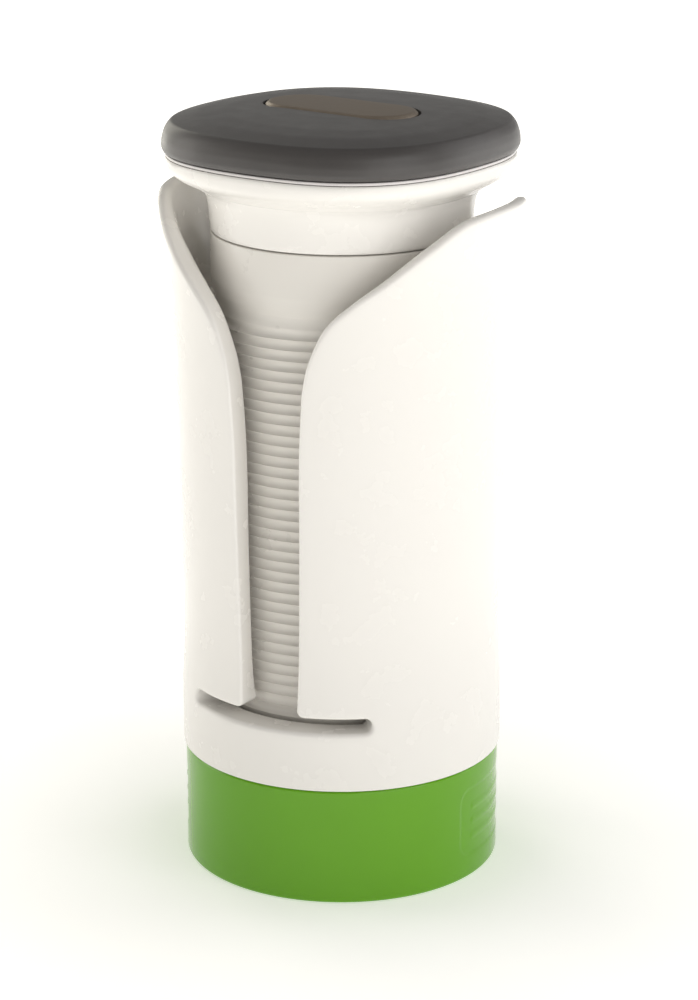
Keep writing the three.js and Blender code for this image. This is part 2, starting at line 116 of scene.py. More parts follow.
# ---------------------------------------------------------------- materials
class Nodes:
    """A Principled material with object-space noise to draw on."""

    def __init__(self, name, color, roughness, metallic=0.0, **sockets):
        self.material = bpy.data.materials.new(name)
        self.material.use_nodes = True
        self.tree = self.material.node_tree
        self.shader = self.tree.nodes["Principled BSDF"]
        self.set("Base Color", (*color, 1))
        self.set("Roughness", roughness)
        self.set("Metallic", metallic)
        for socket, value in sockets.items():
            self.set(socket.replace("_", " "), value)
        self.place = self.add("ShaderNodeTexCoord").outputs["Object"]

    def set(self, socket, value):
        self.shader.inputs[socket].default_value = value

    def add(self, kind, **settings):
        node = self.tree.nodes.new(kind)
        for key, value in settings.items():
            setattr(node, key, value)
        return node

    def link(self, a, b):
        self.tree.links.new(a, b)

    def noise(self, size_mm, detail=2.0, stretch=(1, 1, 1), roughness=0.5):
        mapping = self.add("ShaderNodeMapping")
        mapping.inputs["Scale"].default_value = stretch
        self.link(self.place, mapping.inputs["Vector"])
        noise = self.add("ShaderNodeTexNoise")
        noise.inputs["Scale"].default_value = 1 / (size_mm * MM)
        noise.inputs["Detail"].default_value = detail
        noise.inputs["Roughness"].default_value = roughness
        self.link(mapping.outputs["Vector"], noise.inputs["Vector"])
        return noise.outputs["Fac"]

    def remap(self, value, low, high, out_low, out_high):
        node = self.add("ShaderNodeMapRange")
        sockets = ("From Min", "From Max", "To Min", "To Max")
        for socket, number in zip(sockets, (low, high, out_low, out_high)):
            node.inputs[socket].default_value = number
        self.link(value, node.inputs["Value"])
        return node.outputs["Result"]

    def mix(self, factor, a, b):
        node = self.add("ShaderNodeMix", data_type="RGBA")
        self.link(factor, node.inputs[0])
        for socket, color in ((6, a), (7, b)):
            if isinstance(color, tuple):
                node.inputs[socket].default_value = (*color, 1)
            else:
                self.link(color, node.inputs[socket])
        return node.outputs[2]

    def bump(self, height, strength, distance_mm):
        node = self.add("ShaderNodeBump")
        node.inputs["Strength"].default_value = strength
        node.inputs["Distance"].default_value = distance_mm * MM
        self.link(height, node.inputs["Height"])
        previous = self.shader.inputs["Normal"].links
        if previous:
            self.link(previous[0].from_socket, node.inputs["Normal"])
        self.link(node.outputs["Normal"], self.shader.inputs["Normal"])


def tint(color, factor):
    return tuple(min(1, c * factor) for c in color)


def moulded(name, color, roughness, tone=0.03, texture=0.02, **sockets):
    """Moulded plastic: a little flow in its tone, uneven gloss, and a faint skin."""
    m = Nodes(name, color, roughness, **sockets)
    m.link(m.mix(m.remap(m.noise(28, 3), 0.35, 0.65, 0, 1), tint(color, 1 - tone), tint(color, 1 + tone)),
           m.shader.inputs["Base Color"])
    m.link(m.remap(m.noise(7, 4), 0.3, 0.7, roughness * 0.8, roughness * 1.25), m.shader.inputs["Roughness"])
    m.bump(m.noise(0.35, 3), texture, 0.05)
    m.bump(m.noise(14, 2), 0.01, 0.25)
    return m.material


def soft_touch(name, color):
    """Soft over-moulding: matte, with a fine spark-eroded grain and handling marks."""
    m = Nodes(name, color, 0.4, Specular_IOR_Level=0.5)
    m.set("Sheen Weight", 0.12)
    m.set("Sheen Roughness", 0.5)
    wear = m.remap(m.noise(9, 5, roughness=0.6), 0.35, 0.7, 0, 1)
    m.link(m.mix(wear, tint(color, 0.94), tint(color, 1.08)), m.shader.inputs["Base Color"])
    m.link(m.remap(m.noise(4, 4), 0.3, 0.7, 0.36, 0.44), m.shader.inputs["Roughness"])
    m.bump(m.noise(0.16, 2), 0.25, 0.05)
    return m.material


def brushed(name, color, roughness, stretch, metallic=1.0):
    """Brushed or ground metal: fine lines along one axis, in its colour, gloss and relief."""
    m = Nodes(name, color, roughness, metallic=metallic)
    lines = m.noise(0.25, 3, stretch=stretch, roughness=0.7)
    streaks = m.mix(m.remap(lines, 0.3, 0.7, 0, 1), tint(color, 0.86), tint(color, 1.12))
    m.link(streaks, m.shader.inputs["Base Color"])
    m.link(m.remap(lines, 0.3, 0.7, roughness * 0.8, roughness * 1.3), m.shader.inputs["Roughness"])
    m.bump(lines, 0.25, 0.02)
    return m.material


WHITE = moulded("white_abs", (0.87, 0.85, 0.815), 0.24, tone=0.004, texture=0.0)
RIM_WHITE = moulded("rim_abs", (0.68, 0.655, 0.65), 0.3, tone=0.01, texture=0.01)
SCREW_WHITE = moulded("screw_abs", (0.78, 0.755, 0.71), 0.32, tone=0.015, texture=0.01)
GREEN = moulded("green_abs", (0.13, 0.37, 0.008), 0.14, tone=0.03, texture=0.0, Specular_IOR_Level=0.4)
GRIP = soft_touch("soft_grip", (0.058, 0.053, 0.051))
BADGE = brushed("badge_metal", (0.29, 0.24, 0.19), 0.42, (0.05, 1, 1), metallic=0.6)
GRATER = brushed("grater_steel", (0.62, 0.62, 0.61), 0.26, (0.06, 1, 1))
FASTENER = brushed("fastener_steel", (0.55, 0.54, 0.52), 0.3, (1, 1, 0.1))
SEAL = moulded("seal_rubber", (0.24, 0.235, 0.225), 0.65, tone=0.05, texture=0.08)


# ---------------------------------------------------------------- mesh helpers
def mesh_object(name, corners_mm, faces, material, sharp_deg=38):
    mesh = bpy.data.meshes.new(name)
    corners = [tuple(float(v) * MM for v in c) for c in corners_mm]
    mesh.from_pydata(corners, [], [tuple(map(int, f)) for f in faces])
    mesh.validate()
    obj = bpy.data.objects.new(name, mesh)
    bpy.context.scene.collection.objects.link(obj)
    finish_mesh(obj, sharp_deg)
    mesh.materials.append(material)
    return obj


def finish_mesh(obj, sharp_deg=38):
    """Faces outwards, smooth except across sharp corners."""
    work = bmesh.new()
    work.from_mesh(obj.data)
    bmesh.ops.remove_doubles(work, verts=work.verts, dist=1e-7)
    bmesh.ops.recalc_face_normals(work, faces=work.faces)
    work.to_mesh(obj.data)
    work.free()
    obj.data.shade_smooth()
    obj.data.set_sharp_from_angle(angle=math.radians(sharp_deg))


def rounded(corners, steps=5):
    """Outline points from (x, y) or (x, y, radius) corners, each radius as an arc."""
    count = len(corners)
    points = []
    for i, corner in enumerate(corners):
        if len(corner) < 3 or corner[2] <= 0:
            points.append(tuple(corner[:2]))
            continue
        p = np.array(corner[:2], float)
        before = np.array(corners[(i - 1) % count][:2], float) - p
        after = np.array(corners[(i + 1) % count][:2], float) - p
        before_len, after_len = np.linalg.norm(before), np.linalg.norm(after)
        before, after = before / before_len, after / after_len
        half = math.acos(np.clip(before @ after, -1, 1)) / 2
        back = min(corner[2] / math.tan(half), 0.49 * before_len, 0.49 * after_len)
        r = back * math.tan(half)
        middle = p + (before + after) / np.linalg.norm(before + after) * (r / math.sin(half))
        start, end = p + before * back - middle, p + after * back - middle
        turn = math.atan2(start[0] * end[1] - start[1] * end[0], start @ end)
        for k in range(steps + 1):
            a = turn * k / steps
            c, s = math.cos(a), math.sin(a)
            points.append(tuple(middle + (c * start[0] - s * start[1], s * start[0] + c * start[1])))
    return points


def turned(name, corners, material, segments=128, sharp_deg=38, steps=5):
    """A turned piece from (radius, height[, rounding]) corners; off the axis it closes on itself."""
    profile = rounded(corners, steps)
    verts, faces, rings = [], [], []
    for r, z in profile:
        if r < 1e-6:
            rings.append([len(verts)] * segments)
            verts.append((0, 0, z))
        else:
            rings.append(list(range(len(verts), len(verts) + segments)))
            verts += [(r * math.cos(a), r * math.sin(a), z)
                      for a in np.linspace(0, 2 * math.pi, segments, endpoint=False)]
    closed = profile[0][0] > 1e-6 or profile[-1][0] > 1e-6
    for a, b in zip(rings, rings[1:] + (rings[:1] if closed else [])):
        for j in range(segments):
            k = (j + 1) % segments
            face = list(dict.fromkeys((a[j], a[k], b[k], b[j])))
            if len(face) > 2:
                faces.append(face)
    return mesh_object(name, verts, faces, material, sharp_deg)


def cut(obj, cutters):
    """Take the cutters out of obj, then delete them."""
    for cutter in cutters:
        modifier = obj.modifiers.new("cut", "BOOLEAN")
        modifier.operation = "DIFFERENCE"
        modifier.solver = "EXACT"
        modifier.object = cutter
        apply_modifiers(obj)
        bpy.data.objects.remove(cutter, do_unlink=True)
    finish_mesh(obj)
    return obj


def apply_modifiers(obj):
    graph = bpy.context.evaluated_depsgraph_get()
    mesh = bpy.data.meshes.new_from_object(obj.evaluated_get(graph))
    obj.modifiers.clear()
    obj.data = mesh


def stadium_outline(length, width, steps=16):
    straight, r = (length - width) / 2, width / 2
    arc = np.linspace(-math.pi / 2, math.pi / 2, steps + 1)
    right = [(straight + r * math.cos(a), r * math.sin(a)) for a in arc]
    return right + [(-x, -y) for x, y in right]


def stadium_block(name, length, width, profile, material, steps=16):
    """A rounded-end block: profile is (inset, height) from the bottom edge over the side to the top."""
    rings = [[(x, y, z) for x, y in stadium_outline(length - 2 * inset, width - 2 * inset, steps)]
             for inset, z in profile]
    count = len(rings[0])
    faces = [list(range(count))[::-1], [(len(rings) - 1) * count + j for j in range(count)]]
    for i in range(len(rings) - 1):
        for j in range(count):
            k = (j + 1) % count
            faces.append((i * count + j, i * count + k, (i + 1) * count + k, (i + 1) * count + j))
    return mesh_object(name, [p for ring in rings for p in ring], faces, material)


def stands_for(obj, body, slot, *nodes):
    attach(obj, body)
    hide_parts(*nodes)
    return obj


# ---------------------------------------------------------------- shell: ring and petals in one skin
EDGE_STEPS = 4
SPACING = 1.15                                       # between mesh points on the skin
UNROLLED = BODY_R * math.pi                          # half of the way round


def resample(points, step):
    points = np.array(points, float)
    run = np.concatenate([[0], np.cumsum(np.linalg.norm(np.diff(points, axis=0), axis=1))])
    count = max(2, int(round(run[-1] / step)) + 1)
    at = np.linspace(0, run[-1], count)
    return np.column_stack([np.interp(at, run, points[:, k]) for k in (0, 1)])


def arc_points(middle, r, start_deg, end_deg, count=24):
    a = np.radians(np.linspace(start_deg, end_deg, count))
    return [(middle[0] + r * math.cos(t), middle[1] + r * math.sin(t)) for t in a]


def slot_place(z):
    """Unrolled distance of the slot's edge from the front."""
    return BODY_R * np.arcsin(along(SLOT_HALF, z) / along(OUTER, z))


def front_edge():
    """Edge of one half, unrolled: along the T-slot, up the slot and over the rim to the petal's peak."""
    half = (T_SLOT_HIGH - T_SLOT_LOW) / 2
    end = math.radians(T_SLOT_REACH) * BODY_R - half
    corner = 1.5
    start = float(slot_place(T_SLOT_HIGH + corner))
    points = [(0, T_SLOT_LOW), (end, T_SLOT_LOW)]
    points += arc_points((end, ROOT_HEIGHT), half, -90, 90)[1:]
    points += arc_points((start + corner, T_SLOT_HIGH + corner), corner, 270, 180)
    slot_top = V_EDGE[0][1]
    points += [(float(slot_place(z)), z) for z in np.linspace(T_SLOT_HIGH + corner, slot_top, 60)[1:]]
    first = math.asin(V_EDGE[0][0] / float(along(OUTER, slot_top)))
    angles = first + (math.pi / 2 - first) * np.linspace(0, 1, 400)[1:] ** 1.6
    heights = np.full(len(angles), slot_top, float)
    for _ in range(16):
        heights = along(V_EDGE, along(OUTER, heights) * np.sin(angles))
    points += list(zip(angles * BODY_R, heights))
    return resample(points, 0.55)


def inward(points):
    """Unit normals on the left of a line of points."""
    ahead = np.gradient(points, axis=0)
    ahead /= np.linalg.norm(ahead, axis=1)[:, None]
    return np.column_stack([-ahead[:, 1], ahead[:, 0]])


def near(points, line):
    """Distance of each point from the nearest corner of a finely sampled line."""
    best = np.full(len(points), np.inf)
    for chunk in np.array_split(line, max(1, len(line) // 64)):
        gap = np.linalg.norm(points[:, None] - chunk[None], axis=2).min(axis=1)
        best = np.minimum(best, gap)
    return best


def rail_thickness(flat, rails):
    """Wall thickness: thick rails along the slot and rim, the ring's throat and its socket below."""
    z = flat[:, 1]
    outer = np.where(z < 38, BODY_R, along(OUTER, z))
    away = near(flat, rails)
    wall = np.maximum(outer - WALL, along(RAIL_INNER, z))
    inner = along(RAIL_INNER, z) + (wall - along(RAIL_INNER, z)) * smoothstep(3.8, 5.6, away)
    throat = THROAT + (inner - THROAT) * smoothstep(38.4, 39.4, z)
    socket = SOCKET + (THROAT - SOCKET) * smoothstep(LEDGE - 0.25, LEDGE + 0.25, z)
    return outer - np.where(z > ROOT_HEIGHT - 1, throat, socket)


def wrap(flat, depth):
    """Unrolled points at a depth below the outside. Near the slot the depth runs along Y."""
    z = flat[:, 1]
    outer = np.where(z < 38, BODY_R, along(OUTER, z))
    r = outer - depth
    angle = flat[:, 0] / BODY_R
    side = np.minimum(angle, math.pi - angle)
    straight = np.arcsin(np.clip(np.sin(side) * outer / r, -1, 1))
    share = (1 - smoothstep(math.radians(14), math.radians(60), side)) * smoothstep(38, 44, z)
    side = side + share * (straight - side)
    angle = np.where(angle <= math.pi / 2, side, math.pi - side)
    return np.column_stack([r * np.sin(angle), -r * np.cos(angle), z])


def half_shell(name, turn):
    """One petal and its half of the ring: rounded edges of quads, and a skin of triangles."""
    front = front_edge()
    back = np.column_stack([UNROLLED - front[:, 0], front[:, 1]])[::-1]
    upper = np.vstack([front, back[1:]])
    upper[0, 0], upper[-1, 0] = 0, UNROLLED
    lower = resample([(UNROLLED, BODY_LOW), (0, BODY_LOW)], 0.8)
    # The material lies on the right of the upper line as it is drawn, and on the right of the lower one.
    to_inside = {"upper": -inward(upper), "lower": -inward(lower)}
    for line in to_inside.values():
        line[0, 0] = line[-1, 0] = 0
    height = upper[:, 1]
    rounding_upper = 0.75 + 0.55 * smoothstep(108, 124, height) + 0.25 * (1 - smoothstep(38.2, 39.5, height))
    rounding_lower = np.full(len(lower), 0.3)
    rails = upper[upper[:, 1] > T_SLOT_HIGH + 0.8]

    verts, faces = [], []

    def add(points):
        start = len(verts)
        verts.extend(map(tuple, points))
        return np.arange(start, len(verts))

    def strip(a, b):
        faces.extend((a[j], a[j + 1], b[j + 1], b[j]) for j in range(len(a) - 1))

    ends = {}
    quarter = np.linspace(0, math.pi / 2, EDGE_STEPS + 1)
    for key, line, rounding in (("upper", upper, rounding_upper), ("lower", lower, rounding_lower)):
        outer_rows, inner_rows = [], []
        for a in quarter:
            flat = line + to_inside[key] * (rounding * (1 - math.cos(a)))[:, None]
            drop = rounding * (1 - math.sin(a))
            outer_rows.append(add(wrap(flat, drop)))
            inner_rows.append(add(wrap(flat, rail_thickness(flat, rails) - drop)))
        rows = inner_rows[::-1] + outer_rows
        for a, b in zip(rows, rows[1:]):
            strip(a, b)
        ends[key] = (rows, line + to_inside[key] * rounding[:, None])

    top_line, low_line = ends["upper"][1], ends["lower"][1]
    seam_heights = np.linspace(low_line[0, 1], top_line[0, 1], 12)[1:-1]
    seam_back = np.column_stack([np.full(len(seam_heights), UNROLLED), seam_heights[::-1]])
    seam_front = np.column_stack([np.zeros(len(seam_heights)), seam_heights])
    border = np.vstack([top_line, seam_back, low_line, seam_front])
    rows = [LEDGE - 0.25, LEDGE + 0.25, 38.4, 39.4]
    z_values = np.unique(np.concatenate([np.arange(BODY_LOW + 1, PETAL_TOP, SPACING), rows]))
    s_values = np.arange(SPACING, UNROLLED - SPACING / 2, SPACING)
    grid = np.array([(s, z) for z in z_values for s in s_values])
    clear = near(grid, border) > SPACING * 0.62
    inside = clear & points_inside(grid, border)
    grid = grid[inside]
    flat = np.vstack([border, grid])
    count = len(border)
    loop = [(j, (j + 1) % count) for j in range(count)]
    result = delaunay_2d_cdt([Vector(p) for p in flat], loop, [list(range(count))[::-1]], 1, 1e-6)
    points = np.array([tuple(p) for p in result[0]])
    thick = rail_thickness(points, rails)
    outer_ids = add(wrap(points, np.zeros(len(points))))
    inner_ids = add(wrap(points, thick))
    for face in result[2]:
        faces.append([outer_ids[j] for j in face])
        faces.append([inner_ids[j] for j in face][::-1])

    # Close each end, where the two halves meet under the slots.
    for end, seam in ((0, seam_front), (-1, seam_back)):
        top_rows = [row[end] for row in ends["upper"][0]]
        low_rows = [row[-1 if end == 0 else 0] for row in ends["lower"][0]]
        picks = [int(np.argmin(np.linalg.norm(points - p, axis=1))) for p in seam]
        if end == -1:
            picks = picks[::-1]
        outside = [outer_ids[j] for j in picks]
        inside_up = [inner_ids[j] for j in picks][::-1]
        faces.append(low_rows + outside + top_rows[::-1] + inside_up)
    c, s = math.cos(turn), math.sin(turn)
    verts = [(c * x - s * y, s * x + c * y, z) for x, y, z in verts]
    obj = mesh_object(name, verts, faces, WHITE)
    match_seam(obj)
    return obj


def points_inside(points, border):
    """Even-odd test of points against a closed outline."""
    x, y = points.T
    inside = np.zeros(len(points), bool)
    for (x0, y0), (x1, y1) in zip(border, np.roll(border, -1, axis=0)):
        crosses = (y0 > y) != (y1 > y)
        with np.errstate(divide="ignore", invalid="ignore"):
            at = (x1 - x0) * (y - y0) / (y1 - y0) + x0
        inside ^= crosses & (x < at)
    return inside


def match_seam(obj):
    """Turn the shading at the seam straight outwards, so that the two halves shade as one."""
    mesh = obj.data
    normals = [Vector(n.vector) for n in mesh.corner_normals]
    for loop in mesh.loops:
        if abs(mesh.vertices[loop.vertex_index].co.x) < 1e-6 and abs(normals[loop.index].x) < 0.5:
            n = normals[loop.index]
            n.x = 0
            normals[loop.index] = n.normalized()
    mesh.normals_split_custom_set([tuple(n) for n in normals])


for side, turn in (("right", 0), ("left", math.pi)):
    shell = half_shell(f"shell_{side}", turn)
    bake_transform(shell)
    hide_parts(f"petal_{side}", "body_ring")


# ---------------------------------------------------------------- feed screw and foot
RIB_ROWS = (0, 0.035, 0.08, 0.15, 0.26, 0.4, 0.55, 0.7, 0.82, 0.9, 0.955)       # from one crest to the next
RIB_CREST, RIB_ROOT = 26.35, 25.55
# PLAIN_TOP and THREAD_RISE are the stretches without a thread, at the top and at the low end.
TUBE_LENGTH, PLAIN_TOP, THREAD_RISE = 99.3, 13.2, 1.5


def rib_radius(fraction, run, turns):
    """Radius between two crests: a shallow hollow that is deepest just under the crest above it."""
    hollow = np.abs(1 - 2 * np.clip(fraction * 0.92 + 0.04, 0, 1)) ** 2.4
    ramp = smoothstep(0, 0.5, run) * smoothstep(0, 0.6, turns - run)
    return RIB_ROOT + (RIB_CREST - RIB_ROOT) * hollow * ramp


def feed_screw(columns=120):
    """Tube with a right-handed rib thread, its shoulder, its bore and its floor, as one closed skin."""
    # The crests are level with those of the CAD thread, so that they clear the half nuts.
    start = low_of("feed_screw") + THREAD_RISE
    finish = TUBE_TOP - PLAIN_TOP
    turns = int((finish - start) / PITCH)
    per_turn = len(RIB_ROWS)
    count = per_turn * (turns - 1) + 1
    verts, faces = [], []

    def vertex(r, angle, z):
        verts.append((r * math.cos(angle), r * math.sin(angle), z))
        return len(verts) - 1

    def ring(r, z):
        return [vertex(r, 2 * math.pi * j / columns, z) for j in range(columns)]

    def band(low, high):
        for j in range(columns):
            ahead = (j + 1) % columns
            faces.append((low[j], low[ahead], high[ahead], high[j]))

    thread = []
    for j in range(columns):
        column = []
        for i in range(count + (per_turn if j == 0 else 0)):
            run = i // per_turn + RIB_ROWS[i % per_turn] + j / columns
            r = float(rib_radius(RIB_ROWS[i % per_turn], run, turns))
            column.append(vertex(r, 2 * math.pi * j / columns, start + PITCH * run))
        thread.append(column)
    first, last = thread[0], count - 1
    for j in range(columns):
        ahead = thread[j + 1] if j + 1 < columns else first[per_turn:]
        faces.extend((thread[j][i], ahead[i], ahead[i + 1], thread[j][i + 1]) for i in range(last))

    below = ring(RIB_ROOT, start - 0.3)
    for j in range(columns - 1):
        faces.append((below[j], below[j + 1], thread[j + 1][0], thread[j][0]))
    faces.append([below[-1], below[0]] + first[:per_turn + 1] + [thread[-1][0]])
    above = ring(RIB_ROOT, start + PITCH * turns + 0.25)
    faces.append([first[last], thread[1][last], above[1], above[0]] + first[last + 1:][::-1])
    for j in range(1, columns - 1):
        faces.append((thread[j][last], thread[j + 1][last], above[j + 1], above[j]))
    faces.append((thread[-1][last], first[-1], above[0], above[-1]))

    foot = TUBE_TOP - TUBE_LENGTH
    shoulder = rounded([(RIB_ROOT, start + PITCH * turns + 0.25), (25.75, 121.1, 0.5), (26.2, 122.4, 2),
                        (SHOULDER, 125.2, 5), (SHOULDER, TUBE_TOP, 0.25), (22.5, TUBE_TOP, 0.3),
                        (22.5, 40, 1.5), (20.5, 38)])[1:]
    rings = [above] + [ring(r, z) for r, z in shoulder]
    for a, b in zip(rings, rings[1:]):
        band(a, b)
    base = [ring(20, foot), ring(24.6, foot), ring(25.1, foot + 0.4), below]
    for a, b in zip(base, base[1:]):
        band(a, b)
    faces.append(rings[-1])
    faces.append(base[0][::-1])
    return mesh_object("screw_tube", verts, faces, SCREW_WHITE, 55)


stands_for(feed_screw(), "plunger", "screw_plastic", "feed_screw")

GLIDE_R = radius_of("glide_ring")
stands_for(turned("glide_band", [(24.2, 31.5, 0.2), (GLIDE_R, 31.5, 0.35), (GLIDE_R, 32.6, 0.15),
                                 (26.35, 32.75, 0.1),
                                 (26.35, 33.0, 0.1), (GLIDE_R, 33.15, 0.15), (GLIDE_R, 34.2, 0.35),
                                 (24.2, 34.2, 0.2)],
                  WHITE), "glide", "white_shell", "glide_ring")


def pusher():
    """Foot plate with rings of short spikes, a dished face and a counterbore for its screw."""
    plate = turned("pusher_foot", [(3.6, 32.2, 0.1), (3.6, 30.2, 0.3), (7, 30.0, 0.5),
                                   (25.8, 30.0, 0.5), (26.3, 30.45, 0.2),
                                   (26.3, 30.9, 0.15), (23.9, 31.15, 0.1), (23.9, 34.5, 0.2),
                                   (1.8, 34.5, 0.1),
                                   (1.8, 32.2, 0.05)], WHITE)
    verts, faces = [], []
    sides = 10
    for reach, number in ((8.5, 4), (16, 8), (22.5, 12)):
        for k in range(number):
            turn = 2 * math.pi * k / number
            x, y = reach * math.cos(turn), reach * math.sin(turn)
            start = len(verts)
            for r, z in ((1.75, 30.25), (1.6, 29.95), (0.55, 28.6), (0.3, 28.25)):
                verts += [(x + r * math.cos(a), y + r * math.sin(a), z)
                          for a in np.linspace(0, 2 * math.pi, sides, endpoint=False)]
            for row in range(3):
                for j in range(sides):
                    a, b = start + row * sides + j, start + row * sides + (j + 1) % sides
                    faces.append((a, b, b + sides, a + sides))
            faces.append([start + j for j in range(sides)][::-1])
            faces.append([start + 3 * sides + j for j in range(sides)])
    return plate, mesh_object("pusher_spikes", verts, faces, WHITE)


foot_plate, foot_spikes = pusher()
stands_for(foot_plate, "plunger", "white_shell", "pusher_plate")
stands_for(foot_spikes, "plunger", "white_shell", "pusher_plate")


# ---------------------------------------------------------------- fasteners
def pan_screw(name, place, head_low, head_high, tip, head_r, shank_r):
    """Pan-head screw, head down, with a cross recess and a plain shank."""
    body = turned(name, [(0, head_low), (head_r * 0.7, head_low, 1.2), (head_r, head_low + 0.7, 0.5),
                         (head_r, head_high, 0.15), (shank_r, head_high, 0.1),
                         (shank_r, tip - 1.6, 0.3), (0, tip)],
                  FASTENER, segments=32, steps=3)
    arms = []
    for turn in (0, math.pi / 2):
        bpy.ops.mesh.primitive_cube_add(size=1)
        arm = bpy.context.object
        arm.scale = (head_r * 1.1 * MM, head_r * 0.26 * MM, 1.6 * MM)
        arm.rotation_euler = (0, 0, turn)
        arm.location = (0, 0, head_low * MM)
        arms.append(arm)
    cut(body, arms)
    body.data.transform(body.matrix_world)
    for v in body.data.vertices:
        v.co.x += place[0] * MM
        v.co.y += place[1] * MM
    return body


FOOT_FASTENER = pan_screw("foot_fastener", (0, 0), 30.3, 31.9, 43, 3.2, 1.4)
stands_for(FOOT_FASTENER, "plunger", "screw_steel", "foot_screw")
for k in range(4):
    low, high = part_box(f"knob_screw_{k + 1}")
    middle = (low + high) / 2 / MM
    foot_z, tip_z = low.z / MM, high.z / MM
    screw = pan_screw(f"knob_fastener_{k + 1}", (middle.x, middle.y), foot_z, foot_z + 1.7, tip_z, 3.2, 1.6)
    stands_for(screw,
               "plunger", "screw_steel", f"knob_screw_{k + 1}")


# ---------------------------------------------------------------- knob
NECK = [(134.75, 26.62), (137.5, 26.8), (140, 27.05), (141.8, 27.45), (143.1, 28.15)]
FLARE = [(143.3, 28.6), (144.3, 30.05), (145.4, 32.15), (146.5, 33.5), (147.6, 34.15), (148.6, 34.38),
         (149.4, 34.32)]


def squareness(z):
    """Round at the neck, a soft square from the rim up."""
    return 0.038 * np.clip((z - 141) / 7, 0, 1) - 0.006 * np.clip((z - 153) / 4, 0, 1)


def squared(obj):
    for v in obj.data.vertices:
        angle = math.atan2(v.co.y, v.co.x) - KNOB_CORNER
        swell = 1 + float(squareness(v.co.z / MM)) * math.cos(4 * angle)
        v.co.x *= swell
        v.co.y *= swell
    return obj


def collar():
    low = low_of("knob_collar")
    outside = [(float(along(NECK, z)), z) for z in np.linspace(134.75, 143.1, 16)]
    outside += [(float(along(FLARE, z)), z) for z in np.linspace(143.3, 149.4, 24)]
    profile = [(0, 139.6), (19, 139.6, 0.8), (19, low + 0.3, 0.4), (21.8, low, 0.3), (22.2, 127.2, 0.3),
               (22.2, 134.4, 0.2), (26.35, 134.4, 0.2)] + outside
    profile += [(34.15, RIM_LOW - 0.13), (32.7, RIM_LOW - 0.13, 0.3), (31.8, 147.4, 2), (29.4, 145.7, 2),
                (26.6, 144.1, 1.5), (25, 142.8, 0.8), (0, 142.8)]
    obj = squared(turned("knob_neck", profile, WHITE, segments=160, sharp_deg=50))
    holes = []
    for k in range(4):
        turn = math.pi / 2 * k
        holes.append(turned("hole", [(0, 138), (2, 138), (2, 144), (0, 144)], WHITE, segments=24))
        holes[-1].location = (14 * MM * math.cos(turn), 14 * MM * math.sin(turn), 0)
    bpy.context.view_layer.update()
    return cut(obj, holes)


stands_for(collar(), "plunger", "white_shell", "knob_collar")

core = squared(turned("knob_edge_plate", [
    (0, RIM_LOW), (34.15, RIM_LOW, 0.2), (34.15, RIM_LOW + 0.6, 0.2), (31.2, RIM_LOW + 0.6, 0.1),
    (31.2, 152.6, 0.8),
    (30, 153.9, 2), (20, 155, 8), (0, 155.3)], RIM_WHITE, segments=160))
stands_for(core, "plunger", "white_shell", "knob_core")
for k in range(4):
    turn = math.pi / 2 * k
    boss = turned(f"knob_boss_{k + 1}", [(1.9, 143.2, 0.2), (3.8, 143.2, 0.3), (3.7, RIM_LOW + 0.4),
                                         (1.9, RIM_LOW + 0.4)], WHITE, segments=32)
    for v in boss.data.vertices:
        v.co.x += 14 * MM * math.cos(turn)
        v.co.y += 14 * MM * math.sin(turn)
    stands_for(boss, "plunger", "white_shell", "knob_core")

BADGE_LENGTH, BADGE_WIDTH = 34.2, 15.5
BADGE_LOW, BADGE_HIGH = low_of("badge_plate"), high_of("badge_plate")
ALONG_BADGE = Matrix.Rotation(KNOB_CORNER + math.pi / 4, 4, "Z")


def grip():
    obj = squared(turned("knob_cover", [
        (0, 155.6), (20, 155.3, 6), (30.2, 154.2, 2), (31.5, 152.8, 1), (31.5, GRIP_LOW, 0.2),
        (34.5, GRIP_LOW, 0.3),
        (34.95, 151.6, 1.5), (34.85, 153.4, 6), (34.35, 155.4, 4), (33.3, 156.75, 1.4), (28.3, 157.85, 20),
        (23, 158.4, 30), (12, 158.85, 40), (0, KNOB_TOP)], GRIP, segments=192, steps=7))
    pocket = stadium_block("pocket", BADGE_LENGTH + 1.3, BADGE_WIDTH + 0.5,
                           [(0, BADGE_LOW - 0.25), (0, BADGE_HIGH + 3)], GRIP, steps=32)
    pocket.data.transform(ALONG_BADGE)
    return cut(obj, [pocket])


stands_for(grip(), "plunger", "grip_soft", "knob_grip")
badge = stadium_block("badge", BADGE_LENGTH, BADGE_WIDTH, [
    (0.15, BADGE_LOW), (0, BADGE_LOW + 0.15), (0, BADGE_HIGH - 0.75), (0.08, BADGE_HIGH - 0.6),
    (0.5, BADGE_HIGH - 0.18),
    (0.62, BADGE_HIGH - 0.1), (0.85, BADGE_HIGH - 0.03), (1.15, BADGE_HIGH)], BADGE, steps=32)
badge.data.transform(ALONG_BADGE)
stands_for(badge, "plunger", "badge_metal", "badge_plate")


# ---------------------------------------------------------------- grater
CARRIER_LOW, CARRIER_TOP = low_of("grater_carrier"), high_of("grater_carrier")
stands_for(turned("grater_holder", [
    (25.5, CARRIER_LOW, 0.4), (30.4, CARRIER_LOW, 0.6), (30.4, 24.5, 0.2), (30, 24.5), (30, 26.9, 0.15),
    (28.9, 26.9, 0.1), (28.9, 28.5, 0.1), (30, 28.5, 0.15), (30, CARRIER_TOP, 0.4), (27.7, CARRIER_TOP, 0.3),
    (27.7, 26, 0.1), (25.5, 26, 0.3)], WHITE, segments=128), "body", "white_shell", "grater_carrier")
stands_for(turned("grater_gasket", [(29.05, 27.05, 0.4), (30.15, 27.05, 0.4), (30.15, 28.35, 0.4),
                                    (29.05, 28.35, 0.4)],
                  SEAL, segments=128, steps=6), "body", "seal_rubber", "grater_seal")


